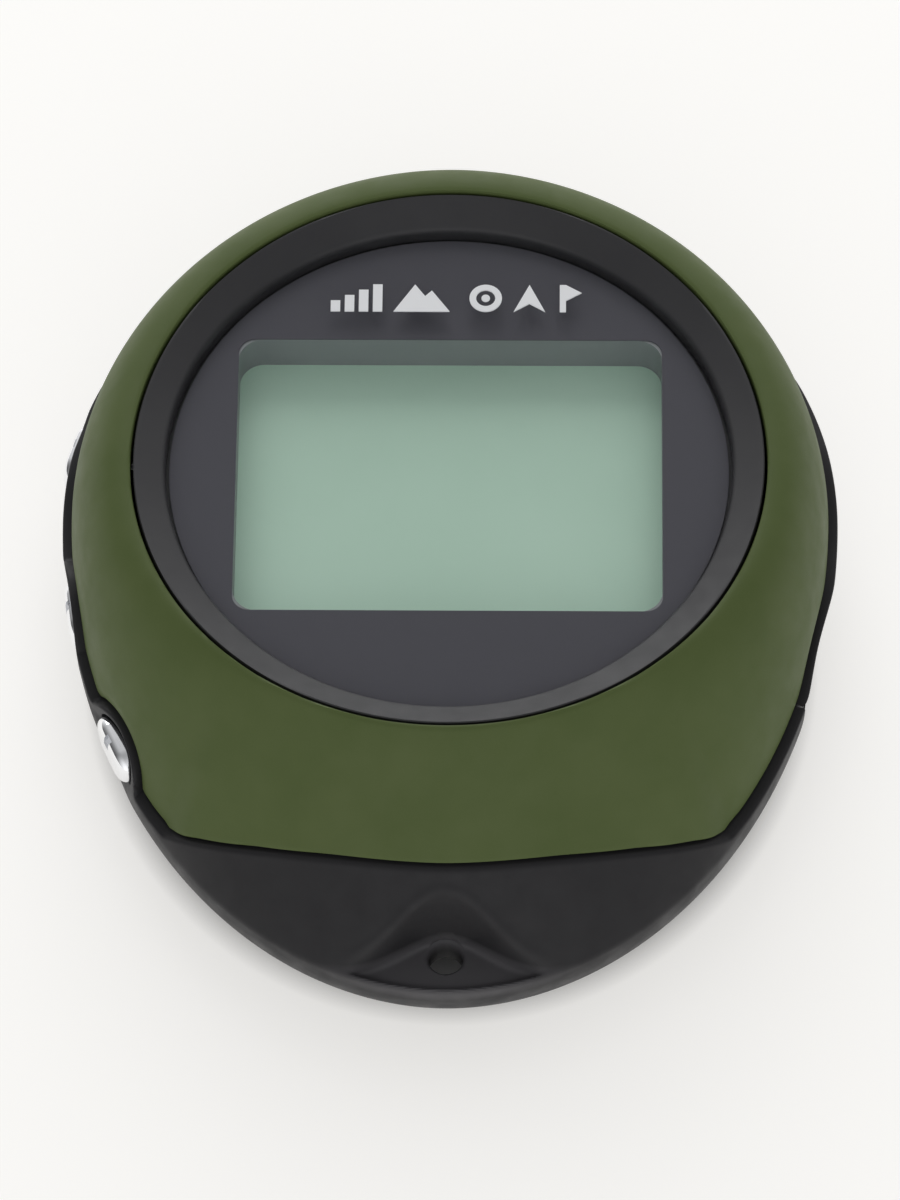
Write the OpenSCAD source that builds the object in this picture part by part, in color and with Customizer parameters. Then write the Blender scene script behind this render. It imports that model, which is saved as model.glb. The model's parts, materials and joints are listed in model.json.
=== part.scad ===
// Handheld GPS unit: a round, thick pebble with a green front shell, a black
// rear housing, a conical bezel round a flat lens, three side keys and a USB port.
// Millimetres. The back rests on z = 0, +Z comes out of the display, +Y is the
// top of the unit, and x = 0 is its middle. y = 0 is near the middle of its length.

/* [Body] */
// Half width of the housing at its widest
half_w = 34.55; // [34.2:0.05:34.8]
// Height of the display's outer surface above the back
lens_z = 23.5; // [23.2:0.1:24]
// Distance of the lens centre from the origin, towards the top
lens_y = 5; // [4.5:0.1:5.5]
// Lens centre to the far end of the chin
chin_reach = 44.4; // [43.8:0.1:45]
// Height of the widest line at the sides and the top
waist_side = 12.4; // [12:0.1:12.8]
// Height of the widest line at the chin
waist_chin = 7.6; // [7.2:0.1:8]
// How far the back tucks in under the waist
tuck = 5.1; // [4.6:0.1:5.6]
// Superellipse power of the outline: 2 is a half circle above and a half ellipse below
outline_power = 1.95; // [1.9:0.01:2]
// Wall of the moulded shells
wall = 1.8; // [1.6:0.05:1.9]

/* [Parting line] */
// Height of the parting line at the middle of the chin
part_mid_z = 16.4; // [16:0.1:16.8]
// Height of the parting line where the chin meets the side band
part_corner_z = 9.4; // [9:0.1:9.8]
// Half angle of the chin, from straight down
part_corner_deg = 39.8; // [38:0.5:41]
// How far the side band stands proud of the green shell
band_ledge = 0.85; // [0.6:0.05:1]
// How far the parting line rises on either side of the upper key
band_rise = 1.5; // [0:0.1:2]
// Gap between the two shells
part_gap = 0.3; // [0.25:0.05:0.4]

/* [Display] */
// Radius of the lens
lens_r = 24.8; // [24.4:0.1:25]
// Thickness of the lens
lens_t = 1.2; // [1:0.1:1.3]
// Outer radius of the bezel
bezel_r = 27.75; // [27.6:0.05:27.8]
// Width of the clear window
window_w = 37.6; // [36:0.2:38]
// Height of the clear window
window_h = 28.5; // [27:0.2:29]
// Depth of the display below the lens mask
lcd_drop = 4; // [3.5:0.1:4.2]

/* [Side controls] */
// Height of the keys above the back
key_z = 9.3; // [9.2:0.1:9.5]
// Height of the USB port above the back
port_z = 8.35; // [8.3:0.05:8.4]
// Places of the three keys along Y
key_y = [14.8, -2.2, -16.2];
// How far each key's crown stands proud of the body's outline
key_out = [1.1, 0.2, 0.2];
// Length of a key
key_len = 6.6; // [6.2:0.1:6.8]
// Height of a key
key_h = 3.8; // [3.6:0.1:4]
// Depth of the finger dip round a key
key_dip = 1.6; // [1.3:0.1:1.7]
// Place of the USB port along Y
usb_y = -5.5; // [-6:0.5:-4]
// Depth of the finger dip round the port
usb_dip = 0.8; // [0.6:0.1:1]

/* [Lanyard] */
// Radius of the lanyard hole
lanyard_r = 1.5; // [1.3:0.1:1.6]
// Distance of the hole from the lens centre, towards the chin
lanyard_reach = 40.7; // [40.5:0.1:40.9]
// Height of the lug's top face
lug_top = 7.3; // [7:0.1:7.6]
// Thickness of the lug
lug_t = 2.6; // [2.4:0.1:3]

/* [Electronics] */
// Height of the circuit board's underside
pcb_z = 6; // [5.9:0.1:6]
// Thickness of the circuit board
pcb_t = 0.8; // [0.7:0.1:0.8]
// Battery length, width and thickness
battery_size = [38, 30, 3.6];

/* [Hidden] */

green = [0.29, 0.35, 0.19];
black = [0.19, 0.19, 0.2];
steel = [0.72, 0.73, 0.75];
gold = [0.8, 0.65, 0.3];

eps = 0.01;
step_deg = 3.75;
az_count = 360 / step_deg;

// ---------- body surface ----------
// The widest outline is two half superellipses that meet at outline_y past the lens centre.
outline_y = 0.94;
chin_b = chin_reach + outline_y;
// The superellipse power of the section: 2 is a round shoulder, 1 a straight slope
power_side = 2;
power_chin = 1.03;
rim_low = 1;
rim_rise = 0.93;
rim_r = 28.4;
opening_r = 28;
opening_fillet = 0.5;

function smooth(t) = let (u = min(1, max(0, t))) u * u * (3 - 2 * u);
function reversed(list) = [for (i = [len(list) - 1:-1:0]) list[i]];
function mix(a, b, t) = a + (b - a) * t;

// Distance from the lens centre to an ellipse of semi-axes a and b about outline_y
function ray_to(az, a, b) =
    let (c = cos(az), s = sin(az), k = c * c / (a * a) + s * s / (b * b))
    (s * outline_y / (b * b) + sqrt(pow(s * outline_y / (b * b), 2)
        + k * (1 - pow(outline_y / b, 2)))) / k;
function outline_r(az) =
    let (r = ray_to(az, half_w, half_w))
    settled(az, r * sin(az) > outline_y ? r : ray_to(az, half_w, chin_b), 4);
// Moves r onto the outline in a few steps
function settled(az, r, steps) = steps == 0 ? r :
    let (d = r * sin(az) - outline_y, x = abs(r * cos(az)) / half_w,
        y = abs(d) / (d > 0 ? half_w : chin_b), n = outline_power)
    settled(az, r / pow(pow(x, n) + pow(y, n), 1 / n), steps - 1);

function chin_share(az) = smooth(-sin(az));
function waist_z(az) = mix(waist_side, waist_chin, chin_share(az));
function rim_z(az) = lens_z + rim_low + rim_rise * pow(sin(az), 2);
function power_at(az) = mix(power_side, power_chin, smooth((-sin(az) - 0.15) / 0.85));

// Angle from straight down, towards either side
function from_chin(az) = abs(((az + 90 + 180) % 360) - 180);
function part_z(az) = max(concat(
    [
        waist_z(az) + 0.3 + 0.6 * chin_share(az) + band_rise * rise_share(from_chin(az)),
        part_mid_z - (part_mid_z - part_corner_z) * pow(from_chin(az) / part_corner_deg, 2.25)
    ],
    [for (i = [0:2]) collar_z(az, i)]
));
function rise_share(deg) = smooth((deg - 86) / 18) * (1 - smooth((deg - 114) / 16));
// The rear housing rises in a low arch over each key: half length and top height
collars = [[5.5, 14], [5.8, 14], [5, 12.6]];
function collar_z(az, i) =
    let (u = wrap(az - azimuth_of(-1, key_y[i])) * outline_r(az) * PI / 180 / collars[i][0])
    key_z + (collars[i][1] - key_z) * sqrt(max(0, 1 - u * u));
function ledge_at(az) = mix(0.25, band_ledge, smooth((from_chin(az) - 36.5) / 5));

// Plan place and outward angle of a point on the outline: side is -1 left or 1 right
function outline_x(y) =
    let (d = y - lens_y - outline_y, b = d > 0 ? half_w : chin_b)
    half_w * pow(1 - pow(abs(d) / b, outline_power), 1 / outline_power);
function outward_deg(side, y) =
    let (d = y - lens_y - outline_y, b = d > 0 ? half_w : chin_b, k = outline_power - 1)
    atan2(sign(d) * pow(abs(d) / b, k) / b, side * pow(outline_x(y) / half_w, k) / half_w);
function azimuth_of(side, y) = atan2(y - lens_y, side * outline_x(y));

// Finger dips: [azimuth, height, depth, half length, half height]
dips = [
    for (y = key_y) [azimuth_of(-1, y), key_z, key_dip, 5.6, 5.2],
    [azimuth_of(1, usb_y), port_z, usb_dip, 7.5, 6]
];
function wrap(d) = ((d + 540) % 360) - 180;
function dip_at(az, z, r, i = 0) = i >= len(dips) ? 0 :
    let (d = dips[i], u = wrap(az - d[0]) * r * PI / 180 / d[3], w = (z - d[1]) / d[4])
    d[2] * pow(max(0, 1 - u * u - w * w), 2) + dip_at(az, z, r, i + 1);

// Outer section point: a is 0 at the rim and 90 at the waist
function shoulder(az, a, inset) =
    let (p = power_at(az), r_out = outline_r(az) - inset, zw = waist_z(az),
        z = zw + (rim_z(az) - zw) * pow(cos(a), 2 / p),
        r = rim_r + (r_out - rim_r) * pow(sin(a), 2 / p))
    [r - dip_at(az, z, r), z];
// Section angle at which the shoulder reaches height z
function angle_at(az, z) =
    let (zw = waist_z(az), q = min(1, max(0, (z - zw) / (rim_z(az) - zw))))
    acos(pow(q, power_at(az) / 2));
// Under the waist the section is a quarter ellipse: a is 0 at the waist, 90 at the back
function under(az, a) =
    let (zw = waist_z(az), z = zw * (1 - sin(a)), r = outline_r(az) - tuck * (1 - cos(a)))
    [r - dip_at(az, z, r), z];

// Closed loop of sections round the lens axis
module loft_ring(sections) {
    n = len(sections);
    m = len(sections[0]);
    polyhedron(
        points = [
            for (i = [0:n - 1], p = sections[i])
                [p[0] * cos(i * step_deg), p[0] * sin(i * step_deg) + lens_y, p[1]]
        ],
        faces = [
            for (i = [0:n - 1], j = [0:m - 1])
                let (a = i * m + j, b = i * m + (j + 1) % m,
                    c = ((i + 1) % n) * m + (j + 1) % m, d = ((i + 1) % n) * m + j)
                each [[a, b, c], [a, c, d]]
        ],
        convexity = 8
    );
}

// As loft_ring, with both ends of the sections closed on the lens axis
module loft_bowl(sections, z_first, z_last) {
    n = len(sections);
    m = len(sections[0]);
    first = n * m;
    last = n * m + 1;
    polyhedron(
        points = concat(
            [
                for (i = [0:n - 1], p = sections[i])
                    [p[0] * cos(i * step_deg), p[0] * sin(i * step_deg) + lens_y, p[1]]
            ],
            [[0, lens_y, z_first], [0, lens_y, z_last]]
        ),
        faces = concat(
            [
                for (i = [0:n - 1], j = [0:m - 2])
                    let (a = i * m + j, b = i * m + j + 1,
                        c = ((i + 1) % n) * m + j + 1, d = ((i + 1) % n) * m + j)
                    each [[a, b, c], [a, c, d]]
            ],
            [for (i = [0:n - 1]) [first, i * m, ((i + 1) % n) * m]],
            [for (i = [0:n - 1]) [last, ((i + 1) % n) * m + m - 1, i * m + m - 1]]
        ),
        convexity = 8
    );
}

module rounded_plate(w, h, t, r) {
    linear_extrude(t) {
        square([w - 2 * r, h], center = true);
        square([w, h - 2 * r], center = true);
        for (x = [-1, 1], y = [-1, 1])
            translate([x * (w / 2 - r), y * (h / 2 - r)])
                circle(r, $fn = 24);
    }
}

module slab(w, h, t, x = 0, y = 0, z = 0) {
    translate([x - w / 2, y - h / 2, z])
        cube([w, h, t]);
}

// Local frame of a side control: +X points out of the body, Z is unchanged
module at_side(side, y) {
    translate([side * outline_x(y), y, side < 0 ? key_z : port_z])
        rotate([0, 0, outward_deg(side, y)])
            children();
}

// Pill whose long axis is tangent to the body, from x = from to x = to
module pill(len, h, from, to) {
    translate([from, 0, 0])
        rotate([90, 0, 90])
            linear_extrude(to - from) {
                square([len - h, h], center = true);
                for (s = [-1, 1])
                    translate([s * (len - h) / 2, 0])
                        circle(h / 2, $fn = 32);
            }
}

// ---------- front shell ----------
screw_spots = [
    for (a = [55, 125]) [29.4 * cos(a), 29.4 * sin(a) + lens_y, 22.2],
    for (a = [-55, -125]) [31 * cos(a), 31 * sin(a) + lens_y, 18.6]
];
boss_r = 1.9;
boss_z = 7.2;
screw_shank_r = 0.8;
screw_bore_r = 0.85;
screw_tip_z = 13;

function front_section(az) =
    let (z_low = part_z(az), inset = ledge_at(az), a_end = angle_at(az, z_low),
        zr = rim_z(az), bottom = shoulder(az, a_end, inset),
        drop = az_slope(az) * wall, r_in = min(bottom[0] - drop, outline_r(az) - inset - wall))
    reversed(concat(
        [[opening_r, zr - opening_fillet], [opening_r + 0.15, zr - 0.13]],
        [for (k = [0:6]) shoulder(az, a_end * k / 6, inset)],
        [for (k = [0:4]) inner_front(az, k / 4, r_in, z_low)],
        [[opening_r, zr - wall]]
    ));
// Radial wall thickness grows where the wall leans outward
function az_slope(az) = mix(1, 1.35, smooth((-sin(az) - 0.15) / 0.85));
function inner_front(az, t, r_in, z_low) =
    let (a_end = angle_at(az, z_low), a = a_end * (1 - t), p = power_at(az),
        r0 = rim_r + 0.2, z0 = rim_z(az) - wall,
        u = pow(sin(a), 2 / p) / pow(sin(a_end), 2 / p),
        w = (1 - pow(cos(a), 2 / p)) / (1 - pow(cos(a_end), 2 / p)))
    [mix(r0, r_in, u), mix(z0, z_low, w)];

module front_shell() {
    color(green)
        difference() {
            union() {
                loft_ring([for (i = [0:az_count - 1]) front_section(i * step_deg)]);
                for (p = screw_spots)
                    translate([p[0], p[1], boss_z])
                        cylinder(r = boss_r, h = p[2] - boss_z, $fn = 32);
            }
            for (p = screw_spots)
                translate([p[0], p[1], boss_z - 1])
                    cylinder(r = screw_bore_r, h = screw_tip_z + 2 - boss_z, $fn = 32);
            translate([0, lens_y, seat_z - 1.4])
                cylinder(r = bezel_r + 0.1, h = 3, $fn = 96);
        }
}

// ---------- rear housing ----------
floor_t = 1.6;
cavity_chin = 35;
post_r = 2.3;
post_foot = 1.35;
post_z = boss_z - 0.3;
head_r = 1.7;
head_z = 1.3;
head_t = 1;
pcb_screw_spots = [[-11, 32.3], [11, 32.3], [-4.5, -22.4], [4.5, -22.4]];
pcb_post_r = 1.9;

// The cavity's outline stops short of the lanyard recess
function cavity_r(az) =
    let (r = ray_to(az, half_w - wall, half_w - wall))
    r * sin(az) > outline_y ? r : ray_to(az, half_w - wall, cavity_chin + outline_y);

function rear_section(az) =
    let (z_top = part_z(az) - part_gap, a_top = angle_at(az, z_top),
        top = shoulder(az, a_top, 0), chin = az_slope(az) * wall + 0.35,
        r_top = min(top[0] - chin, cavity_r(az)))
    concat(
        [for (k = [0:4]) under(az, 90 - 90 * k / 5)],
        [for (k = [0:3]) shoulder(az, mix(90, a_top, k / 3), 0)],
        [[r_top, z_top]],
        [for (k = [1:4]) inner_rear(az, mix(z_top, floor_t, k / 4), r_top)]
    );
function inner_rear(az, z, r_top) =
    let (zw = waist_z(az), q = min(1, max(0, (zw - z) / zw)),
        limit = outline_r(az) - tuck * (1 - sqrt(1 - q * q)) - wall)
    [min(cavity_r(az), limit) - dip_at(az, z, outline_r(az)), z];

// Plan of the lanyard recess: a bell, open towards the chin
bell_depth = 4.1;
bell_width = 4.6;
bell_half = 9.4;
bell_apex = 38.4;
function bell_y(x) = lens_y - bell_apex - bell_depth * (1 - exp(-pow(x / bell_width, 2)));
module bell_plan() {
    polygon(concat(
        [for (x = [-bell_half:bell_half / 10:bell_half + eps]) [x, bell_y(x)]],
        [[bell_half, lens_y - 50], [-bell_half, lens_y - 50]]
    ));
}

label_w = 30.6;
label_h = 17.6;
label_y = 16;
label_recess = 0.25;
lanyard_y = lens_y - lanyard_reach;
lug_low = lug_top - lug_t;
pocket_r = 3.3;
pocket_shift = 0.8;
key_clear = 0.25;
usb_hole = [8.6, 3.5];
cover_pocket = [11.6, 4.2, 1.35];
usb_floor = usb_dip + cover_pocket[2] - 0.1;

module rear_housing() {
    color(black)
        difference() {
            union() {
                loft_bowl([for (i = [0:az_count - 1]) rear_section(i * step_deg)], 0, floor_t);
                for (p = screw_spots)
                    translate([p[0], p[1], post_foot])
                        cylinder(r = post_r, h = post_z - post_foot, $fn = 32);
                for (p = pcb_screw_spots)
                    translate([p[0], p[1], post_foot])
                        cylinder(r = pcb_post_r, h = pcb_z - post_foot, $fn = 32);
            }
            translate([0, 0, lug_top])
                linear_extrude(14)
                    bell_plan();
            translate([0, lanyard_y, -1])
                cylinder(r = lanyard_r, h = lug_top + 2, $fn = 48);
            translate([0, lanyard_y + pocket_shift, -1])
                cylinder(r = pocket_r, h = lug_low + 1, $fn = 48);
            for (y = key_y)
                at_side(-1, y) {
                    pill(key_len + 2 * key_clear, key_h + 2 * key_clear, -6.5, 2);
                    pill(key_len + 2, key_h + 1.6, -8, flange_x + 0.2);
                }
            at_side(1, usb_y)
                translate([-6.5, -usb_hole[0] / 2, -usb_hole[1] / 2])
                    cube([8, usb_hole[0], usb_hole[1]]);
            at_side(1, usb_y)
                translate([-usb_floor, -cover_pocket[0] / 2 - 1, -cover_pocket[1] / 2])
                    cube([4, cover_pocket[0] + 1, cover_pocket[1]]);
            for (p = screw_spots) {
                translate([p[0], p[1], -1])
                    cylinder(r = head_r + 0.15, h = 1 + head_z + head_t, $fn = 32);
                translate([p[0], p[1], -1])
                    cylinder(r = 1, h = 12, $fn = 32);
            }
            for (p = pcb_screw_spots)
                translate([p[0], p[1], 2.6])
                    cylinder(r = 0.65, h = 8, $fn = 32);
            translate([0, label_y, -1])
                rounded_plate(label_w + 0.4, label_h + 0.4, 1 + label_recess, 2);
        }
}

// ---------- gasket in the parting line ----------
function gasket_section(az) =
    let (z = part_z(az) - part_gap, a = angle_at(az, z + part_gap),
        r = min(shoulder(az, a, ledge_at(az))[0] - 0.35, outline_r(az) - band_ledge - 0.35))
    [[r, z + 0.04], [r, z + part_gap - 0.04], [r - 0.7, z + part_gap - 0.04], [r - 0.7, z + 0.04]];

module shell_gasket() {
    color([0.12, 0.12, 0.12])
        loft_ring([for (i = [0:az_count - 1]) gasket_section(i * step_deg)]);
}

// ---------- bezel, lens and display ----------
seat_r = 24.1;
glue_t = 0.2;
mask_t = 0.1;
mask_z = lens_z - lens_t - mask_t;
seat_z = mask_z - glue_t;
window_y = lens_y - 0.25;
lcd_z = mask_z - lcd_drop;

function bezel_section(az) = let (zr = rim_z(az) - 0.12) [
    [bezel_r, seat_z - 1.2], [bezel_r, zr - 0.25], [bezel_r - 0.3, zr],
    [lens_r + 0.3, lens_z + 0.1], [lens_r + 0.12, lens_z - 0.1],
    [lens_r + 0.12, seat_z], [seat_r, seat_z], [seat_r, seat_z - 1.2]
];

module bezel_ring() {
    color(black)
        loft_ring([for (i = [0:az_count - 1]) bezel_section(i * step_deg)]);
}

module lens_window() {
    color([0.8, 0.85, 0.85, 0.3])
        translate([0, lens_y, lens_z - lens_t])
            cylinder(r = lens_r, h = lens_t, $fn = 96);
}

module lens_mask() {
    color([0.16, 0.16, 0.17])
        difference() {
            translate([0, lens_y, mask_z])
                cylinder(r = lens_r - 0.15, h = mask_t, $fn = 96);
            translate([0, window_y, mask_z - 1])
                rounded_plate(window_w, window_h, 2, 1.5);
        }
}

module lens_adhesive() {
    color([0.1, 0.1, 0.1])
        translate([0, lens_y, seat_z])
            difference() {
                cylinder(r = lens_r - 0.2, h = glue_t, $fn = 96);
                translate([0, 0, -1])
                    cylinder(r = seat_r + 0.05, h = 2, $fn = 96);
            }
}

// Row of plain outdoor marks: signal bars, a peak, a waypoint ring, a north arrow and a flag
mark_h = 2.9;
mark_y = lens_y + 17.6;
mark_t = 0.12;
module direction_mark() {
    low = -mark_h / 2;
    high = mark_h / 2;
    color(steel)
        translate([0, mark_y, lens_z])
            linear_extrude(mark_t) {
                for (k = [0:3])
                    translate([-10.7 + 1.25 * k, low])
                        square([0.85, mark_h * (0.4 + 0.2 * k)]);
                translate([-2.6, 0])
                    polygon([[-2.5, low], [-0.6, high], [0.3, 0.2], [0.9, 0.8], [2.5, low]]);
                translate([3.1, 0]) {
                    difference() {
                        circle(mark_h / 2, $fn = 40);
                        circle(mark_h / 2 - 0.6, $fn = 40);
                    }
                    circle(0.38, $fn = 24);
                }
                translate([7, 0])
                    polygon([[-1.4, low], [0, high], [1.4, low], [0, -mark_h / 5]]);
                translate([9.7, low])
                    square([0.55, mark_h]);
                translate([10.25, 0])
                    polygon([[0, high], [1.4, high - 0.85], [0, high - 1.7]]);
            }
}

module window_shroud() {
    color([0.4, 0.42, 0.42])
        translate([0, window_y, lcd_z])
            difference() {
                rounded_plate(window_w + 2, window_h + 2, lcd_drop, 4);
                translate([0, 0, -1])
                    rounded_plate(window_w, window_h, lcd_drop + 2, 2.2);
            }
}

lcd_w = 43;
lcd_h = 33;
film_t = 0.2;
pane_t = 0.7;
module lcd_front_polariser() {
    color([0.56, 0.65, 0.58])
        slab(lcd_w - 1, lcd_h - 1, film_t, 0, window_y, lcd_z - film_t);
}
pane_z = lcd_z - film_t - pane_t;
module lcd_front_glass() {
    color([0.7, 0.78, 0.74, 0.5])
        slab(lcd_w, lcd_h, pane_t, 0, window_y, pane_z);
}
ledge_h = 2.6;
module lcd_rear_glass() {
    color([0.7, 0.78, 0.74, 0.5])
        slab(lcd_w, lcd_h + ledge_h, pane_t, 0, window_y - ledge_h / 2, pane_z - pane_t);
}
rear_film_z = pane_z - pane_t - film_t;
module lcd_rear_polariser() {
    color([0.75, 0.78, 0.75])
        slab(lcd_w - 1, lcd_h - 1, film_t, 0, window_y, rear_film_z);
}
chip_y = window_y - lcd_h / 2 - 1.1;
module lcd_driver_chip() {
    color([0.2, 0.2, 0.22])
        slab(12, 1.2, 0.4, 0, chip_y, pane_z);
}
backlight_t = 2.2;
backlight_z = rear_film_z - backlight_t;
module backlight_panel() {
    color([0.93, 0.94, 0.9])
        slab(lcd_w - 0.4, lcd_h - 0.4, backlight_t, 0, window_y, backlight_z);
}

pcb_top = pcb_z + pcb_t;
carrier_t = 1;
carrier_w = lcd_w + 2 * carrier_t + 0.2;
carrier_h = lcd_h + ledge_h + 2 * carrier_t + 0.2;
carrier_y = window_y - ledge_h / 2;
carrier_leg = 2.4;
leg_x = 17;
module lcd_carrier() {
    color([0.88, 0.88, 0.86])
        translate([0, carrier_y, 0])
            difference() {
                union() {
                    slab(carrier_w, carrier_h, lcd_z - backlight_z + 0.6, 0, 0, backlight_z - 0.8);
                    for (x = [-leg_x, leg_x], y = [-1, 1])
                        slab(carrier_leg, carrier_leg, backlight_z - pcb_top,
                            x, y * (carrier_h - carrier_leg) / 2, pcb_top);
                }
                slab(lcd_w + 0.2, lcd_h + ledge_h + 0.2, 10, 0, 0, backlight_z);
                slab(lcd_w - 6, lcd_h + ledge_h - 8, 10, 0, 0, backlight_z - 5);
                slab(18, 12, 20, 0, -carrier_h / 2, pcb_top + 1);
            }
}

// Flat flex from the rear glass ledge down to its connector on the board
flex_w = 14;
flex_t = 0.15;
flex_y = window_y - lcd_h / 2 - ledge_h + 0.4;
flex_out = 2.6;
flex_low_z = pcb_top + 0.75;
module lcd_flex() {
    color([0.75, 0.5, 0.2])
        translate([flex_w / 2, flex_y, 0])
            rotate([90, 0, -90])
                linear_extrude(flex_w) {
                    translate([-0.6, pane_z - pane_t - flex_t])
                        square([flex_out + 0.6, flex_t]);
                    translate([flex_out - flex_t, flex_low_z])
                        square([flex_t, pane_z - pane_t - flex_low_z]);
                    translate([-2.4, flex_low_z])
                        square([flex_out + 2.4, flex_t]);
                }
}
module flex_connector() {
    color([0.9, 0.88, 0.8])
        difference() {
            slab(flex_w + 2.4, 4, 1.8, 0, flex_y + 2.4, pcb_top);
            slab(flex_w + 0.2, 6, flex_t + 0.1, 0, flex_y - 0.2, flex_low_z - 0.05);
        }
}

// ---------- board and what is on it ----------
pcb_r = 30.7;
pcb_flat = 27.3;
module main_pcb() {
    color([0.1, 0.32, 0.18])
        difference() {
            intersection() {
                translate([0, lens_y + 0.6, pcb_z])
                    cylinder(r = pcb_r, h = pcb_t, $fn = 96);
                slab(2 * pcb_flat, 80, 4, 0, lens_y, pcb_z - 1);
            }
            for (p = screw_spots)
                translate([p[0], p[1], pcb_z - 1])
                    cylinder(r = post_r + 0.35, h = 4, $fn = 32);
            for (p = pcb_screw_spots)
                translate([p[0], p[1], pcb_z - 1])
                    cylinder(r = 0.9, h = 4, $fn = 32);
            slab(5, 8, 4, plug_x, lead_bend_y - 2.5, pcb_z - 1);
        }
}

antenna_w = 12;
antenna_t = 3.8;
antenna_y = 29.4;
module gps_patch_antenna() {
    color([0.82, 0.76, 0.64])
        difference() {
            slab(antenna_w, antenna_w, antenna_t, 0, antenna_y, pcb_top);
            translate([0, antenna_y + 1, 0])
                cylinder(r = 0.55, h = 40, $fn = 24);
        }
}
module antenna_feed_pin() {
    color(gold)
        translate([0, antenna_y + 1, 0]) {
            translate([0, 0, pcb_top])
                cylinder(r = 0.4, h = antenna_t + 0.05, $fn = 24);
            translate([0, 0, pcb_top + antenna_t])
                cylinder(r = 1.1, h = 0.25, $fn = 24);
        }
}
module gps_module_can() {
    color(steel)
        rounded_can(14, 12, 2.2, -9, 10);
}
module rounded_can(w, h, t, x, y) {
    translate([x, y, pcb_top])
        rounded_plate(w, h, t, 0.6);
}
module mcu_chip() {
    color([0.13, 0.13, 0.14])
        slab(9, 9, 1.4, 9, 6, pcb_top);
}
module pcb_small_parts() {
    color([0.6, 0.5, 0.38]) {
        for (k = [0:5])
            slab(0.8, 1.6, 0.7, -14 + 2.2 * k, -2, pcb_top);
        for (k = [0:4])
            slab(1.6, 0.8, 0.7, 16.5, 12 - 2 * k, pcb_top);
        slab(5, 3.2, 1.1, 6, -4, pcb_top);
        slab(3, 1.6, 1.1, 0, 18, pcb_top);
        slab(1.6, 0.8, 0.6, 12, 16, pcb_top);
    }
}

// ---------- battery ----------
battery_y = 5;
battery_z = floor_t + 0.35;
module battery() {
    color([0.7, 0.72, 0.74])
        translate([0, battery_y, battery_z])
            rounded_plate(battery_size[0], battery_size[1], battery_size[2], 2);
}
module battery_pad() {
    color([0.2, 0.2, 0.2])
        slab(battery_size[0] - 6, battery_size[1] - 6, battery_z - floor_t, 0, battery_y, floor_t);
}
lead_r = 0.45;
plug_x = 11.5;
plug_y = -16.2;
lead_bend_y = plug_y - 4.6;
// Lead from the battery's end to the plug: along the floor, then up through the board's edge
module battery_lead(dx) {
    x = plug_x + dx;
    y_start = battery_y - battery_size[1] / 2;
    z_lead = battery_z + 2;
    bend = [x, lead_bend_y, z_lead];
    translate([x, y_start, z_lead])
        rotate([90, 0, 0])
            cylinder(r = lead_r, h = y_start - bend[1], $fn = 16);
    translate(bend)
        sphere(lead_r, $fn = 16);
    translate(bend)
        cylinder(r = lead_r, h = pcb_top + 1.4 - z_lead, $fn = 16);
    translate([x, bend[1], pcb_top + 1.4])
        sphere(lead_r, $fn = 16);
    translate([x, bend[1], pcb_top + 1.4])
        rotate([-90, 0, 0])
            cylinder(r = lead_r, h = 4.6 - 2, $fn = 16);
}
module battery_lead_red() {
    color([0.7, 0.1, 0.1])
        battery_lead(-1);
}
module battery_lead_black() {
    color([0.1, 0.1, 0.1])
        battery_lead(1);
}
module battery_plug() {
    color([0.93, 0.92, 0.88])
        slab(4.4, 2.4, 2.4, plug_x, plug_y - 0.8, pcb_top + 0.2);
}
module battery_header() {
    color([0.9, 0.88, 0.82])
        difference() {
            slab(5.8, 4, 3, plug_x, plug_y, pcb_top);
            slab(4.5, 3, 2.5, plug_x, plug_y - 1.05, pcb_top + 0.15);
        }
}

// ---------- side keys and their switches ----------
flange_x = -(key_dip + wall + 0.55);
nub_end = flange_x - 1.6;
switch_face = nub_end - 0.9;
switch_depth = 3.4;
switch_h = 4.4;

// Chrome key: crowned pill, a flange that keeps it in, and a nub for the switch
module key_cap(i) {
    color([0.86, 0.87, 0.89])
        at_side(-1, key_y[i]) {
            intersection() {
                pill(key_len, key_h, flange_x, key_out[i]);
                translate([key_out[i] - 16, 0, 0])
                    sphere(16, $fn = 64);
            }
            pill(key_len + 1.4, key_h + 1, flange_x - 0.7, flange_x);
            translate([nub_end, 0, 0])
                rotate([0, 90, 0])
                    cylinder(r = 1, h = flange_x - 0.7 - nub_end, $fn = 24);
        }
}
module switch_plunger(y) {
    color([0.15, 0.15, 0.15])
        at_side(-1, y)
            translate([switch_face - 0.6, 0, 0])
                rotate([0, 90, 0])
                    cylinder(r = 0.8, h = nub_end - switch_face + 0.6, $fn = 24);
}
module tact_switch(y) {
    color(steel)
        at_side(-1, y)
            difference() {
                translate([switch_face - switch_depth, -3, pcb_top - key_z])
                    cube([switch_depth, 6, switch_h]);
                translate([switch_face - 1.2, 0, 0])
                    rotate([0, 90, 0])
                        cylinder(r = 0.88, h = 3, $fn = 24);
            }
}
module key_power() { key_cap(0); }
module key_mark() { key_cap(1); }
module key_mode() { key_cap(2); }
module plunger_power() { switch_plunger(key_y[0]); }
module plunger_mark() { switch_plunger(key_y[1]); }
module plunger_mode() { switch_plunger(key_y[2]); }
module switch_power() { tact_switch(key_y[0]); }
module switch_mark() { tact_switch(key_y[1]); }
module switch_mode() { tact_switch(key_y[2]); }

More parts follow.
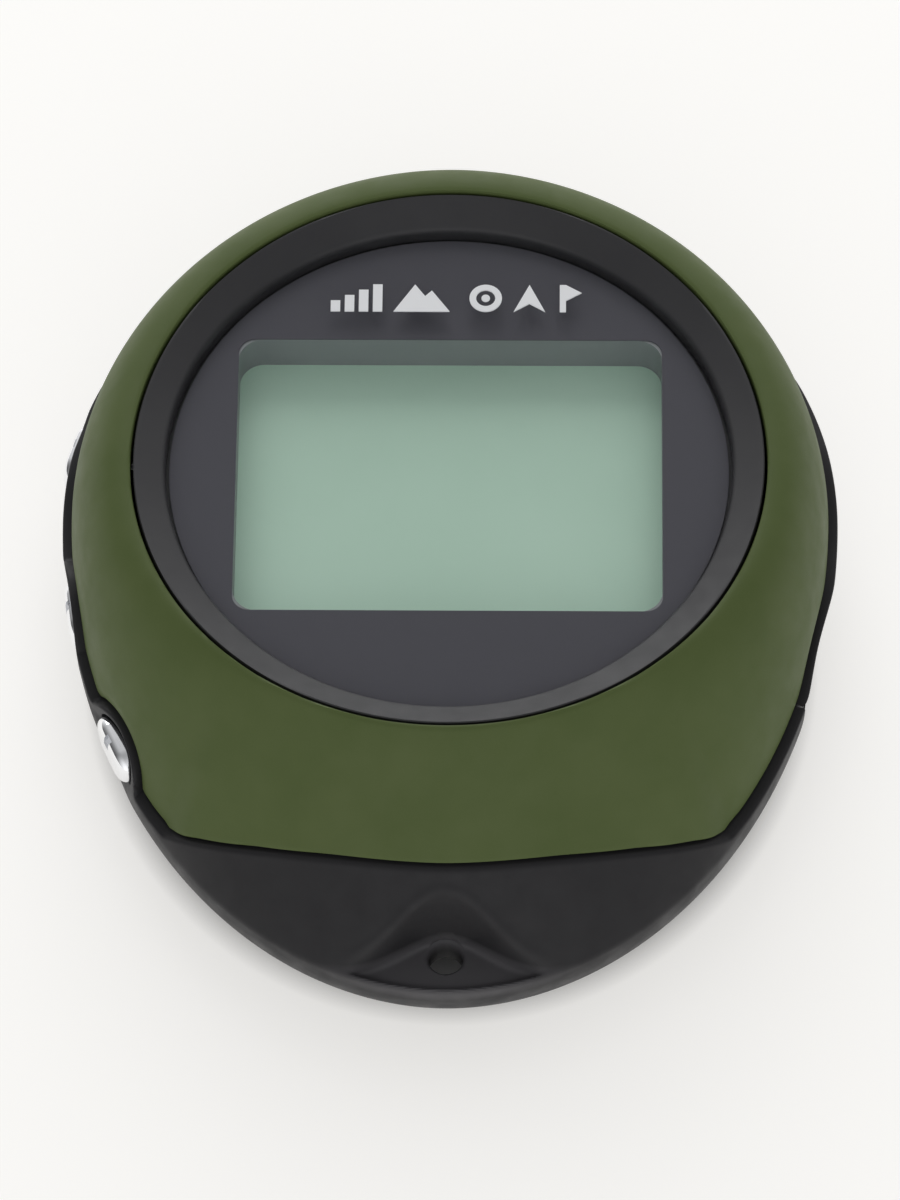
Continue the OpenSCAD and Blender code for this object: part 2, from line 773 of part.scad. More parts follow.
// ---------- USB port ----------
usb_w = 7.7;
usb_h = 3;
usb_deep = 8;
usb_wall = 0.35;
usb_front = -(usb_dip + 2.9);
module usb_shell() {
    color(steel)
        at_side(1, usb_y)
            difference() {
                translate([usb_front - usb_deep, -usb_w / 2, pcb_top - port_z])
                    cube([usb_deep, usb_w, usb_h]);
                translate([usb_front - usb_deep + 0.5, -usb_w / 2 + usb_wall,
                    pcb_top - port_z + usb_wall])
                    cube([usb_deep, usb_w - 2 * usb_wall, usb_h - 2 * usb_wall]);
            }
}
module usb_tongue() {
    color([0.12, 0.12, 0.12])
        at_side(1, usb_y)
            translate([usb_front - usb_deep + 0.5, -2.6, pcb_top - port_z + usb_wall + 0.9])
                cube([usb_deep - 1.5, 5.2, 0.8]);
}

// Rubber port cover: a plate hinged at its lower end, with a shallow plug
cover_t = 1;
cover_len = 11;
cover_h = 3.9;
hinge_r = cover_t / 2;
cover_x = -usb_dip - 0.15;
hinge_y = -cover_pocket[0] / 2 + 0.15;
module usb_cover() {
    color([0.17, 0.17, 0.18])
        at_side(1, usb_y) {
            difference() {
                translate([cover_x - cover_t, hinge_y, -cover_h / 2])
                    cube([cover_t, cover_len, cover_h]);
                translate([cover_x + 0.35, hinge_y + cover_len - 1.6, -2])
                    rotate([0, 0, 45])
                        cube([0.9, 0.9, 4]);
            }
            translate([cover_x - hinge_r, hinge_y, -cover_h / 2])
                cylinder(r = hinge_r, h = cover_h, $fn = 32);
            translate([cover_x - cover_t - 0.7, -3.7, -1.3])
                cube([0.8, 7.4, 2.6]);
        }
}

// ---------- fasteners and label ----------
module rear_screws() {
    color(steel)
        for (p = screw_spots)
            translate([p[0], p[1], head_z])
                difference() {
                    union() {
                        cylinder(r = head_r, h = head_t, $fn = 32);
                        cylinder(r = screw_shank_r, h = screw_tip_z - head_z, $fn = 32);
                    }
                    for (a = [0, 90])
                        rotate([0, 0, a])
                            translate([-1, -0.2, -1])
                                cube([2, 0.4, 1.6]);
                }
}
module pcb_screws() {
    color(steel)
        for (p = pcb_screw_spots)
            translate([p[0], p[1], pcb_top]) {
                cylinder(r = 1.4, h = 0.8, $fn = 32);
                translate([0, 0, -pcb_t - 2.6])
                    cylinder(r = 0.6, h = pcb_t + 2.7, $fn = 32);
            }
}
module rear_label() {
    color([0.3, 0.3, 0.31])
        translate([0, label_y, 0.1])
            rounded_plate(label_w, label_h, label_recess - 0.1, 1.8);
}

front_shell();
rear_housing();
shell_gasket();
bezel_ring();
lens_window();
lens_mask();
lens_adhesive();
direction_mark();
window_shroud();
lcd_front_polariser();
lcd_front_glass();
lcd_rear_glass();
lcd_rear_polariser();
lcd_driver_chip();
lcd_flex();
flex_connector();
backlight_panel();
lcd_carrier();
main_pcb();
gps_patch_antenna();
antenna_feed_pin();
gps_module_can();
mcu_chip();
pcb_small_parts();
battery();
battery_pad();
battery_lead_red();
battery_lead_black();
battery_plug();
battery_header();
key_power();
key_mark();
key_mode();
plunger_power();
plunger_mark();
plunger_mode();
switch_power();
switch_mark();
switch_mode();
usb_shell();
usb_tongue();
usb_cover();
rear_screws();
pcb_screws();
rear_label();
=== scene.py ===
import json
import math
from math import acos, atan2, cos, degrees, exp, pi, radians, sin, sqrt

import bmesh
import bpy
from mathutils import Matrix, Vector


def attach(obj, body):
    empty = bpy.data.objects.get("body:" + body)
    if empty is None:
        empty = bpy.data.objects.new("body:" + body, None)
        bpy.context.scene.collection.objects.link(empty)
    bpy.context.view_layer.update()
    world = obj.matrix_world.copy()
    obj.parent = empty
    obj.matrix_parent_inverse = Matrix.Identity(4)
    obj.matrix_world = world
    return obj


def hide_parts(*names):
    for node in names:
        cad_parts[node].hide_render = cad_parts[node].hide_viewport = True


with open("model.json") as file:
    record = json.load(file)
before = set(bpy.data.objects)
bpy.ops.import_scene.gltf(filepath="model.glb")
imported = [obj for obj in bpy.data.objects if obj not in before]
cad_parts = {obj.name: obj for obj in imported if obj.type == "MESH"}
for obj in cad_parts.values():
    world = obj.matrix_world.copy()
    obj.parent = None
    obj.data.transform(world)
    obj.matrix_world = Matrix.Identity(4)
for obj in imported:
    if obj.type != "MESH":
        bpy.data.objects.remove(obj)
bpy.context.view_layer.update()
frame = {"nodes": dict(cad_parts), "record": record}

MM = 0.001

# ---------- driving dimensions, as in the CAD ----------
HALF_W = 34.55
LENS_Z = 23.5
LENS_Y = 5.0
OUTLINE_Y = 0.94
CHIN_B = 44.4 + OUTLINE_Y
OUTLINE_POWER = 1.95
WAIST_SIDE, WAIST_CHIN = 12.4, 7.6
TUCK = 5.1
WALL = 1.8
PART_MID_Z, PART_CORNER_Z, PART_CORNER_DEG = 16.4, 9.4, 39.8
CHIN_LEDGE, BAND_LEDGE, BAND_RISE = 0.25, 0.85, 1.5
PART_GAP = 0.3
RIM_LOW, RIM_RISE = 1, 0.93
RIM_R, OPENING_R = 28.4, 28.0
POWER_SIDE, POWER_CHIN = 2.0, 1.03
LENS_R, LENS_T = 24.8, 1.2
BEZEL_R = 27.75
SEAT_R, SEAT_Z = 24.1, 22.0
KEY_Z, PORT_Z = 9.3, 8.35
KEY_Y = {"power": 14.8, "mark": -2.2, "mode": -16.2}
KEY_OUT = {"power": 1.1, "mark": 0.2, "mode": 0.2}
KEY_LEN, KEY_H, KEY_DIP, KEY_CLEAR = 6.6, 3.8, 1.6, 0.25
USB_Y, USB_DIP = -5.5, 0.8
LANYARD_Y, LANYARD_R, POCKET_R, POCKET_SHIFT = LENS_Y - 40.7, 1.5, 3.3, 0.8
LUG_TOP, LUG_LOW = 7.3, 4.7
FLOOR_T = 1.6
CAVITY_CHIN = 35.0
COLLARS = {"power": (5.5, 14.0), "mark": (5.8, 14.0), "mode": (5.0, 12.6)}
SCREW_SPOTS = [(r * cos(radians(a)), r * sin(radians(a)) + LENS_Y)
               for r, a in ((29.4, 55), (29.4, 125), (31.0, -55), (31.0, -125))]
HEAD_R, HEAD_Z, HEAD_T = 1.7, 1.3, 1.0
LABEL_W, LABEL_H, LABEL_Y = 30.6, 17.6, 16.0


# ---------- the body's surface ----------
def smooth(t):
    u = min(1.0, max(0.0, t))
    return u * u * (3 - 2 * u)


def mix(a, b, t):
    return a + (b - a) * t


def wrap(d):
    return (d + 540) % 360 - 180


def ray_to(az, a, b):
    """Distance from the lens centre to an ellipse of semi-axes a and b about OUTLINE_Y."""
    c, s = cos(radians(az)), sin(radians(az))
    k = c * c / (a * a) + s * s / (b * b)
    h = s * OUTLINE_Y / (b * b)
    return (h + sqrt(h * h + k * (1 - (OUTLINE_Y / b) ** 2))) / k


def outline_r(az):
    """Two half superellipses that meet at OUTLINE_Y past the lens centre."""
    c, s, n = cos(radians(az)), sin(radians(az)), OUTLINE_POWER
    r = ray_to(az, HALF_W, HALF_W)
    if r * s <= OUTLINE_Y:
        r = ray_to(az, HALF_W, CHIN_B)
    for _ in range(4):
        d = r * s - OUTLINE_Y
        x, y = abs(r * c) / HALF_W, abs(d) / (HALF_W if d > 0 else CHIN_B)
        r /= (x ** n + y ** n) ** (1 / n)
    return r


def cavity_r(az):
    """Inner radius of the housing, cut short at the chin."""
    r = ray_to(az, HALF_W - WALL, HALF_W - WALL)
    if r * sin(radians(az)) > OUTLINE_Y:
        return r
    return ray_to(az, HALF_W - WALL, CAVITY_CHIN + OUTLINE_Y)


def outline_x(y):
    """Half width of the outline at y."""
    d = y - LENS_Y - OUTLINE_Y
    b, n = HALF_W if d > 0 else CHIN_B, OUTLINE_POWER
    return HALF_W * (1 - (abs(d) / b) ** n) ** (1 / n)


def outward_angle(side, y):
    """Direction of the outline's outward normal at y, in radians."""
    d = y - LENS_Y - OUTLINE_Y
    b, k = HALF_W if d > 0 else CHIN_B, OUTLINE_POWER - 1
    along = math.copysign((abs(d) / b) ** k, d) / b
    return atan2(along, side * (outline_x(y) / HALF_W) ** k / HALF_W)


def azimuth_of(side, y):
    return degrees(atan2(y - LENS_Y, side * outline_x(y)))


KEY_AZ = {key: azimuth_of(-1, y) for key, y in KEY_Y.items()}
# Dips in the side: azimuth, height, depth, half length, half height
DIPS = [(az, KEY_Z, KEY_DIP, 5.6, 5.2) for az in KEY_AZ.values()]
DIPS.append((azimuth_of(1, USB_Y), PORT_Z, USB_DIP, 7.5, 6.0))


def chin_share(az):
    return smooth(-sin(radians(az)))


def lean(az):
    """0 where the shoulder is round, 1 at the middle of the chin, where it is a straight slope."""
    return smooth((-sin(radians(az)) - 0.15) / 0.85)


def waist_z(az):
    return mix(WAIST_SIDE, WAIST_CHIN, chin_share(az))


def rim_z(az):
    return LENS_Z + RIM_LOW + RIM_RISE * sin(radians(az)) ** 2


def from_chin(az):
    return abs(wrap(az + 90))


def collar_z(az, key):
    """Height of the black collar that rises round a key."""
    half, top = COLLARS[key]
    u = radians(wrap(az - KEY_AZ[key])) * outline_r(az) / half
    return KEY_Z + (top - KEY_Z) * sqrt(max(0.0, 1 - u * u))


def part_z(az):
    """Height of the parting line: the chin's arch, the side band or a key's collar, whichever is highest."""
    off = from_chin(az)
    chin = PART_MID_Z - (PART_MID_Z - PART_CORNER_Z) * (off / PART_CORNER_DEG) ** 2.25
    rise = BAND_RISE * smooth((off - 86) / 18) * (1 - smooth((off - 114) / 16))
    side = waist_z(az) + 0.3 + 0.6 * chin_share(az) + rise
    return max([side, chin] + [collar_z(az, key) for key in KEY_Y])


def ledge_at(az):
    """How far the green shell sits inside the black band's outline."""
    return mix(CHIN_LEDGE, BAND_LEDGE, smooth((from_chin(az) - 36.5) / 5))


def dip_at(az, z, r):
    """How deep the side is pressed in round the keys and the port."""
    total = 0.0
    for dip_az, dip_z, depth, half_len, half_h in DIPS:
        u = radians(wrap(az - dip_az)) * r / half_len
        w = (z - dip_z) / half_h
        total += depth * max(0.0, 1 - u * u - w * w) ** 2
    return total


def shoulder(az, a, inset=0.0):
    """Outer section point above the waist; a is 0 at the rim and 90 at the waist."""
    p = mix(POWER_SIDE, POWER_CHIN, lean(az))
    zw = waist_z(az)
    z = zw + (rim_z(az) - zw) * max(0.0, cos(radians(a))) ** (2 / p)
    r = RIM_R + (outline_r(az) - inset - RIM_R) * sin(radians(a)) ** (2 / p)
    return r - dip_at(az, z, r), z


def angle_at(az, z):
    """Section angle at which the shoulder reaches height z."""
    zw = waist_z(az)
    q = min(1.0, max(0.0, (z - zw) / (rim_z(az) - zw)))
    return degrees(acos(q ** (mix(POWER_SIDE, POWER_CHIN, lean(az)) / 2)))


def under(az, a):
    """Outer section point below the waist; a is 0 at the waist and 90 at the back."""
    z = waist_z(az) * (1 - sin(radians(a)))
    r = outline_r(az) - TUCK * (1 - cos(radians(a)))
    return r - dip_at(az, z, r), z


# ---------- the lanyard recess ----------
BELL_APEX, BELL_DEPTH, BELL_WIDTH = 38.75, 3.8, 5.2
BELL_BLEND = 0.75
BELL_BEAD = 0.14
LIP_W = 0.55
RECESS_TOP_Y, RECESS_HALF_W = -28, 14


def bell_y(x):
    """The recess's bell-shaped upper edge."""
    return LENS_Y - BELL_APEX - BELL_DEPTH * (1 - exp(-(x / BELL_WIDTH) ** 2))


def recessed(az, r, z):
    """Height of the chin after the recess is sunk into it, with soft upper and lower edges."""
    x, y = r * cos(radians(az)), r * sin(radians(az)) + LENS_Y
    if z <= LUG_TOP or y > RECESS_TOP_Y or abs(x) > RECESS_HALF_W:
        return z
    slope = BELL_DEPTH * 2 * x / BELL_WIDTH ** 2 * exp(-(x / BELL_WIDTH) ** 2)
    inside = (bell_y(x) - y) / sqrt(1 + slope * slope)
    wall = smooth((inside + 0.3) / BELL_BLEND)
    bead = BELL_BEAD * exp(-((inside + 0.5) / 0.3) ** 2)
    lip = smooth((outline_r(az) - r - 0.1) / LIP_W)
    return z - (z - LUG_TOP) * wall * lip + bead * smooth((z - LUG_TOP - 1) / 1.5)


# ---------- sections and meshes ----------
FINE_STEPS = 5
PILL_STEPS = 24


def spaced(points, count):
    """The same path with count points at equal steps along it."""
    reach = [0.0]
    for p, q in zip(points, points[1:]):
        reach.append(reach[-1] + math.dist(p, q))
    path, k = [], 0
    for i in range(count):
        want = reach[-1] * i / (count - 1)
        while k < len(points) - 2 and reach[k + 1] < want:
            k += 1
        t = (want - reach[k]) / max(1e-9, reach[k + 1] - reach[k])
        path.append(tuple(mix(a, b, t) for a, b in zip(points[k], points[k + 1])))
    return path


def softened(points, reach, count):
    """The path with its corners rounded by averaging over reach each way, as count equal steps."""
    length = sum(math.dist(p, q) for p, q in zip(points, points[1:]))
    fine = spaced(points, max(count, int(length / reach * FINE_STEPS)) + 1)
    sums = [(0.0, 0.0)]
    for r, z in fine:
        sums.append((sums[-1][0] + r, sums[-1][1] + z))
    path = []
    for i in range(len(fine)):
        w = min(FINE_STEPS, i, len(fine) - 1 - i)
        low, high = sums[i - w], sums[i + w + 1]
        path.append(((high[0] - low[0]) / (2 * w + 1), (high[1] - low[1]) / (2 * w + 1)))
    return spaced(path, count)


def mesh_piece(name, points, faces, material, sharp=40):
    mesh = bpy.data.meshes.new(name)
    mesh.from_pydata([(x * MM, y * MM, z * MM) for x, y, z in points], [], faces)
    mesh.validate()
    obj = bpy.data.objects.new(name, mesh)
    bpy.context.scene.collection.objects.link(obj)
    finish_mesh(obj, material, sharp)
    return obj


def finish_mesh(obj, material, sharp):
    mesh = obj.data
    mesh.materials.clear()
    mesh.materials.append(material)
    mesh.shade_smooth()
    mesh.set_sharp_from_angle(angle=radians(sharp))


def loft(sections, centre=None):
    """Points and faces of sections (r, z) set evenly round the lens axis. Without centre each section
    is a closed loop; with centre = (z_first, z_last) both ends close on the axis."""
    n, m = len(sections), len(sections[0])
    points = []
    for i, section in enumerate(sections):
        az = radians(360 * i / n)
        points += [(r * cos(az), r * sin(az) + LENS_Y, z) for r, z in section]
    faces = []
    for i in range(n):
        a, b = i * m, (i + 1) % n * m
        for j in range(m if centre is None else m - 1):
            k = (j + 1) % m
            faces.append((a + j, b + j, b + k, a + k))
    if centre is not None:
        points += [(0, LENS_Y, z) for z in centre]
        for i in range(n):
            a, b = i * m, (i + 1) % n * m
            faces.append((n * m, b, a))
            faces.append((n * m + 1, a + m - 1, b + m - 1))
    return points, faces


def all_round(section, count):
    return [section(360 * i / count) for i in range(count)]


def pill_loop(length, height, inset=0.0):
    """Outline of a pill in the (y, z) plane, pulled in by inset."""
    r = height / 2 - inset
    half = (length - height) / 2
    loop = []
    for side in (1, -1):
        for i in range(PILL_STEPS + 1):
            a = pi * i / PILL_STEPS - side * pi / 2
            loop.append((side * half + r * cos(a), r * sin(a)))
    return loop


def rings(levels):
    """Points and faces of closed loops of equal length, stacked and capped at both ends."""
    m = len(levels[0])
    points = [p for level in levels for p in level]
    faces = []
    for i in range(len(levels) - 1):
        for j in range(m):
            k = (j + 1) % m
            faces.append((i * m + j, i * m + k, (i + 1) * m + k, (i + 1) * m + j))
    faces.append(tuple(reversed(range(m))))
    faces.append(tuple(range((len(levels) - 1) * m, len(levels) * m)))
    return points, faces


def lathe(profile, count=64):
    """Closed loops of a profile [(r, z), ...] round the Z axis."""
    return [[(r * cos(2 * pi * j / count), r * sin(2 * pi * j / count), z) for j in range(count)]
            for r, z in profile]


def moved(points, origin, angle=0.0):
    """Points turned about Z by angle, in radians, and then shifted to origin."""
    c, s = cos(angle), sin(angle)
    ox, oy, oz = origin
    return [(ox + x * c - y * s, oy + x * s + y * c, oz + z) for x, y, z in points]


def side_frame(side, y):
    """Origin and turn of a side control: local +X points out of the body, Z is unchanged."""
    return (side * outline_x(y), y, KEY_Z if side < 0 else PORT_Z), outward_angle(side, y)


def cut(target, shapes, material, sharp=40):
    """Takes closed shapes, each (points, faces), out of the target's mesh."""
    for points, faces in shapes:
        tool = mesh_piece("cutter", points, faces, material)
        step = target.modifiers.new("cut", "BOOLEAN")
        step.operation = "DIFFERENCE"
        step.solver = "MANIFOLD"
        step.object = tool
        bpy.context.view_layer.update()
        shaped = target.evaluated_get(bpy.context.evaluated_depsgraph_get())
        mesh = bpy.data.meshes.new_from_object(shaped)
        target.modifiers.clear()
        old = target.data
        target.data = mesh
        bpy.data.meshes.remove(old)
        bpy.data.objects.remove(tool)
    finish_mesh(target, material, sharp)


# ---------- shells ----------
SHELL_STEPS = 900
RING_STEPS = 480
EDGE_SOFT, RING_SOFT = 0.28, 0.16
FRONT_POINTS, REAR_POINTS, RING_POINTS = 84, 130, 60
CHIN_WALL = 1.35
SEAL_IN, SEAL_W = 0.35, 0.7
RING_FOOT = 1.2


def wall_lean(az):
    """Wall thickness measured level, which is more where the shoulder slopes."""
    return mix(1, CHIN_WALL, lean(az)) * WALL


def front_section(az):
    low, inset = part_z(az), ledge_at(az)
    a_end, zr = angle_at(az, low), rim_z(az)
    edge = shoulder(az, a_end, inset)
    r_in = min(edge[0] - wall_lean(az), outline_r(az) - inset - WALL)
    outside = [(r_in + 0.4, low)]
    outside += [shoulder(az, a_end * (1 - k / 120), inset) for k in range(121)]
    outside += [(OPENING_R, zr), (OPENING_R, zr - WALL)]
    inside = []
    p = mix(POWER_SIDE, POWER_CHIN, lean(az))
    for k in range(1, 9):
        a = radians(a_end * k / 8)
        u = (sin(a) / sin(radians(a_end))) ** (2 / p)
        w = (1 - cos(a) ** (2 / p)) / (1 - cos(radians(a_end)) ** (2 / p))
        inside.append((mix(RIM_R + 0.2, r_in, u), mix(zr - WALL, low, w)))
    return softened(outside, EDGE_SOFT, FRONT_POINTS) + inside


def inner_rear(az, z, r_top):
    zw = waist_z(az)
    q = min(1.0, max(0.0, (zw - z) / zw))
    limit = outline_r(az) - TUCK * (1 - sqrt(1 - q * q)) - WALL
    return min(cavity_r(az), limit, r_top) - dip_at(az, z, outline_r(az)), z


def rear_section(az):
    z_top = part_z(az) - PART_GAP
    a_top = angle_at(az, z_top)
    edge = shoulder(az, a_top)
    r_top = min(edge[0] - wall_lean(az) - SEAL_IN, cavity_r(az))
    outside = [(under(az, 90)[0] - 2, 0.0)]
    outside += [under(az, 90 - 90 * k / 60) for k in range(61)]
    for k in range(1, 241):
        r, z = shoulder(az, mix(90, a_top, k / 240))
        outside.append((r, recessed(az, r, z)))
    outside.append((r_top, z_top))
    inside = [inner_rear(az, mix(z_top, FLOOR_T, k / 6), r_top) for k in range(1, 7)]
    return softened(outside, EDGE_SOFT, REAR_POINTS) + inside


def gasket_section(az):
    z = part_z(az)
    r = min(shoulder(az, angle_at(az, z), ledge_at(az))[0] - SEAL_IN, outline_r(az) - BAND_LEDGE - SEAL_IN)
    high, low = z - 0.04, z - PART_GAP + 0.04
    return [(r, low), (r, high), (r - SEAL_W, high), (r - SEAL_W, low)]


def bezel_section(az):
    top, low = rim_z(az) - 0.12, SEAT_Z - RING_FOOT
    outside = [(BEZEL_R, low), (BEZEL_R, top), (LENS_R + 0.3, LENS_Z + 0.12),
               (LENS_R + 0.12, LENS_Z - 0.25), (LENS_R + 0.12, SEAT_Z)]
    return softened(outside, RING_SOFT, RING_POINTS) + [(SEAT_R, SEAT_Z), (SEAT_R, low)]


def pill_cutter(side, y, length, height, low, high):
    origin, angle = side_frame(side, y)
    levels = [[(x, u, v) for u, v in pill_loop(length, height)] for x in (low, high)]
    points, faces = rings(levels)
    return moved(points, origin, angle), faces


def box_cutter(side, y, size, centre):
    origin, angle = side_frame(side, y)
    w, d, h = (half / 2 for half in size)
    loop = [(-w, -d), (w, -d), (w, d), (-w, d)]
    points, faces = rings([[(a, b, c) for a, b in loop] for c in (-h, h)])
    points = [(a + centre[0], b + centre[1], c + centre[2]) for a, b, c in points]
    return moved(points, origin, angle), faces


def round_cutter(x, y, profile, count=72):
    points, faces = rings(lathe(profile, count))
    return moved(points, (x, y, 0)), faces


def plate_loop(w, h, r, inset=0.0, count=10):
    """Outline of a rounded rectangle about the origin, pulled in by inset."""
    loop = []
    for sx, sy, start in ((1, 1, 0), (-1, 1, 90), (-1, -1, 180), (1, -1, 270)):
        for i in range(count + 1):
            a = radians(start + 90 * i / count)
            loop.append((sx * (w / 2 - r) + (r - inset) * cos(a), sy * (h / 2 - r) + (r - inset) * sin(a)))
    return loop


def plate(w, h, r, levels):
    """Points and faces of a rounded plate; levels are (inset, z) from the bottom up."""
    return rings([[(x, y, z) for x, y in plate_loop(w, h, r, inset)] for inset, z in levels])


FLANGE_X = -(KEY_DIP + WALL + 0.55)
USB_HOLE = (8.6, 3.5)
# The port cover's pocket: length, height, depth
POCKET = (11.6, 4.2, 1.35)
LABEL_GAP = 0.4


def housing_cutters():
    """What is cut out of the housing: key and port openings, lanyard hole, screw holes, label's bed."""
    shapes = []
    for y in KEY_Y.values():
        shapes.append(pill_cutter(-1, y, KEY_LEN + 2 * KEY_CLEAR, KEY_H + 2 * KEY_CLEAR, -6.5, 2))
        shapes.append(pill_cutter(-1, y, KEY_LEN + 2, KEY_H + 1.6, -8, FLANGE_X + 0.2))
    shapes.append(box_cutter(1, USB_Y, (8, USB_HOLE[0], USB_HOLE[1]), (-2.5, 0, 0)))
    shapes.append(box_cutter(1, USB_Y, (4, POCKET[0] + 1, POCKET[1]),
                             (2 - USB_DIP - POCKET[2] + 0.1, -0.5, 0)))
    hole = [(LANYARD_R, 3), (LANYARD_R, LUG_TOP - 0.35), (LANYARD_R + 0.1, LUG_TOP - 0.14),
            (LANYARD_R + 0.3, LUG_TOP + 0.02), (LANYARD_R + 0.3, LUG_TOP + 1.5)]
    shapes.append(round_cutter(0, LANYARD_Y, hole))
    pocket = [(POCKET_R + 0.5, -0.4), (POCKET_R, 0.15), (POCKET_R, LUG_LOW)]
    shapes.append(round_cutter(0, LANYARD_Y + POCKET_SHIFT, pocket))
    head = HEAD_R + 0.15
    for x, y in SCREW_SPOTS:
        shapes.append(round_cutter(x, y, [(head + 0.6, -0.4), (head, 0.2), (head, HEAD_Z + HEAD_T)]))
        shapes.append(round_cutter(x, y, [(1, 1), (1, 12)], 32))
    points, faces = plate(LABEL_W + LABEL_GAP, LABEL_H + LABEL_GAP, 2, [(0, -1), (0, 0.25)])
    shapes.append((moved(points, (0, LABEL_Y, 0)), faces))
    return shapes


def lofted(name, section, count, material, centre=None):
    return mesh_piece(name, *loft(all_round(section, count), centre), material)


def shell_pieces(looks):
    """Both shells, gasket and bezel. The CAD's screw bosses and posts inside aren't repeated here."""
    front = lofted("front_shell_skin", front_section, SHELL_STEPS, looks["green_shell"])
    housing = lofted("rear_housing_skin", rear_section, SHELL_STEPS, looks["black_housing"], (0.0, FLOOR_T))
    cut(housing, housing_cutters(), looks["black_housing"])
    gasket = lofted("shell_gasket_fine", gasket_section, SHELL_STEPS, looks["soft_black"])
    bezel = lofted("bezel_ring_fine", bezel_section, RING_STEPS, looks["bezel"])
    return {"front_shell": front, "rear_housing": housing, "shell_gasket": gasket, "bezel_ring": bezel}


# ---------- lens ----------
LENS_STEPS = 288


def lens_piece(looks):
    bottom, top = LENS_Z - LENS_T + 0.02, LENS_Z
    profile = [(LENS_R - 0.1, bottom), (LENS_R, bottom + 0.1), (LENS_R, top - 0.08),
               (LENS_R - 0.02, top - 0.03), (LENS_R - 0.07, top)]
    points, faces = rings(lathe(profile, LENS_STEPS))
    return mesh_piece("lens_clear", moved(points, (0, LENS_Y, 0)), faces, looks["lens"], 30)


# ---------- keys ----------
CROWN_R = 16.0
KEY_EDGE = 0.65
KEY_STEPS = 8
NUB_END = FLANGE_X - 1.6


def crown_x(out, u, v):
    """How far out a key's crowned face stands at (u, v) from its middle."""
    return out - (u * u + v * v) / (2 * CROWN_R)


def key_piece(name, y, out, looks):
    """Crowned chrome key with its flange, inner nub and the notch in its face, as one closed skin."""
    flange = pill_loop(KEY_LEN + 1.4, KEY_H + 1)
    stem = pill_loop(KEY_LEN, KEY_H)
    nub = pill_loop(2, 2)
    levels = [[(x, u, v) for u, v in loop] for x, loop in (
        (NUB_END, nub), (FLANGE_X - 0.7, nub), (FLANGE_X - 0.7, flange), (FLANGE_X, flange),
        (FLANGE_X, stem), (-1.6, stem))]
    for i in range(KEY_STEPS + 1):
        t = pi / 2 * i / KEY_STEPS
        loop = pill_loop(KEY_LEN, KEY_H, KEY_EDGE * (1 - cos(t)))
        levels.append([(crown_x(out, u, v) - KEY_EDGE * (1 - sin(t)), u, v) for u, v in loop])
    for i in range(1, KEY_STEPS + 1):
        loop = pill_loop(KEY_LEN, KEY_H, mix(KEY_EDGE, KEY_H / 2 - 0.03, i / KEY_STEPS))
        levels.append([(crown_x(out, u, v), u, v) for u, v in loop])
    points, faces = rings(levels)
    origin, angle = side_frame(-1, y)
    key = mesh_piece(name, moved(points, origin, angle), faces, looks["chrome_key"], 50)
    cut(key, [box_cutter(-1, y, (1.0, 0.9, 2.6), (out, -0.25, KEY_H / 2))],
        looks["chrome_key"], 50)
    return key


# ---------- port cover ----------
COVER_T, COVER_LEN, COVER_H, COVER_EDGE = 1.0, 11.0, 3.9, 0.22


def bevelled(name, outline, low, high, edge, material):
    """An outline extruded along Z, with its top and bottom edges rounded."""
    obj = mesh_piece(name, *rings([[(x, y, z) for x, y in outline] for z in (low, high)]), material)
    work = bmesh.new()
    work.from_mesh(obj.data)
    rim = [e for e in work.edges if abs(e.verts[0].co.z - e.verts[1].co.z) < 1e-7]
    bmesh.ops.bevel(work, geom=rim, offset=edge * MM, segments=4, profile=0.5, affect="EDGES")
    work.to_mesh(obj.data)
    work.free()
    return obj


def cover_piece(looks):
    """Rubber flap with a round hinge end and a finger groove near its free end."""
    t = COVER_T
    face, hinge_y = -USB_DIP - 0.15, -POCKET[0] / 2 + 0.15
    outline = []
    for i in range(13):
        a = pi + pi * i / 12
        outline.append((face - t / 2 + t / 2 * cos(a), hinge_y + t / 2 * sin(a)))
    end = hinge_y + COVER_LEN
    outline += [(face, end - 2.0), (face - 0.5, end - 1.35), (face - 0.05, end - 0.95), (face, end - 0.8),
                (face, end - 0.3), (face - 0.09, end - 0.09), (face - 0.3, end)]
    outline += [(face - t + 0.2, end), (face - t, end - 0.2)]
    origin, angle = side_frame(1, USB_Y)
    turned = [(x, y) for x, y, _ in moved([(x, y, 0) for x, y in outline], origin, angle)]
    low, high = PORT_Z - COVER_H / 2, PORT_Z + COVER_H / 2
    return bevelled("usb_cover_soft", turned, low, high, COVER_EDGE, looks["soft_black"])


# ---------- screws and label ----------
SHANK_R, THREAD_DEPTH, THREAD_PITCH = 0.8, 0.22, 0.6
THREAD_END, TIP_Z = 12.2, 13.0


def screw_profile():
    """Head at the bottom, then a shank with thread-like ridges and a pointed end."""
    low, shank, deep = HEAD_Z, SHANK_R, THREAD_DEPTH
    profile = [(HEAD_R - 0.75, low), (HEAD_R - 0.35, low + 0.06), (HEAD_R - 0.1, low + 0.22),
               (HEAD_R, low + 0.5), (HEAD_R, low + HEAD_T), (shank, low + HEAD_T)]
    z = low + HEAD_T + 0.5
    while z < THREAD_END:
        profile += [(shank - deep, z), (shank, z + deep), (shank - deep, z + 2 * deep)]
        z += THREAD_PITCH
    return profile + [(0.15, TIP_Z)]


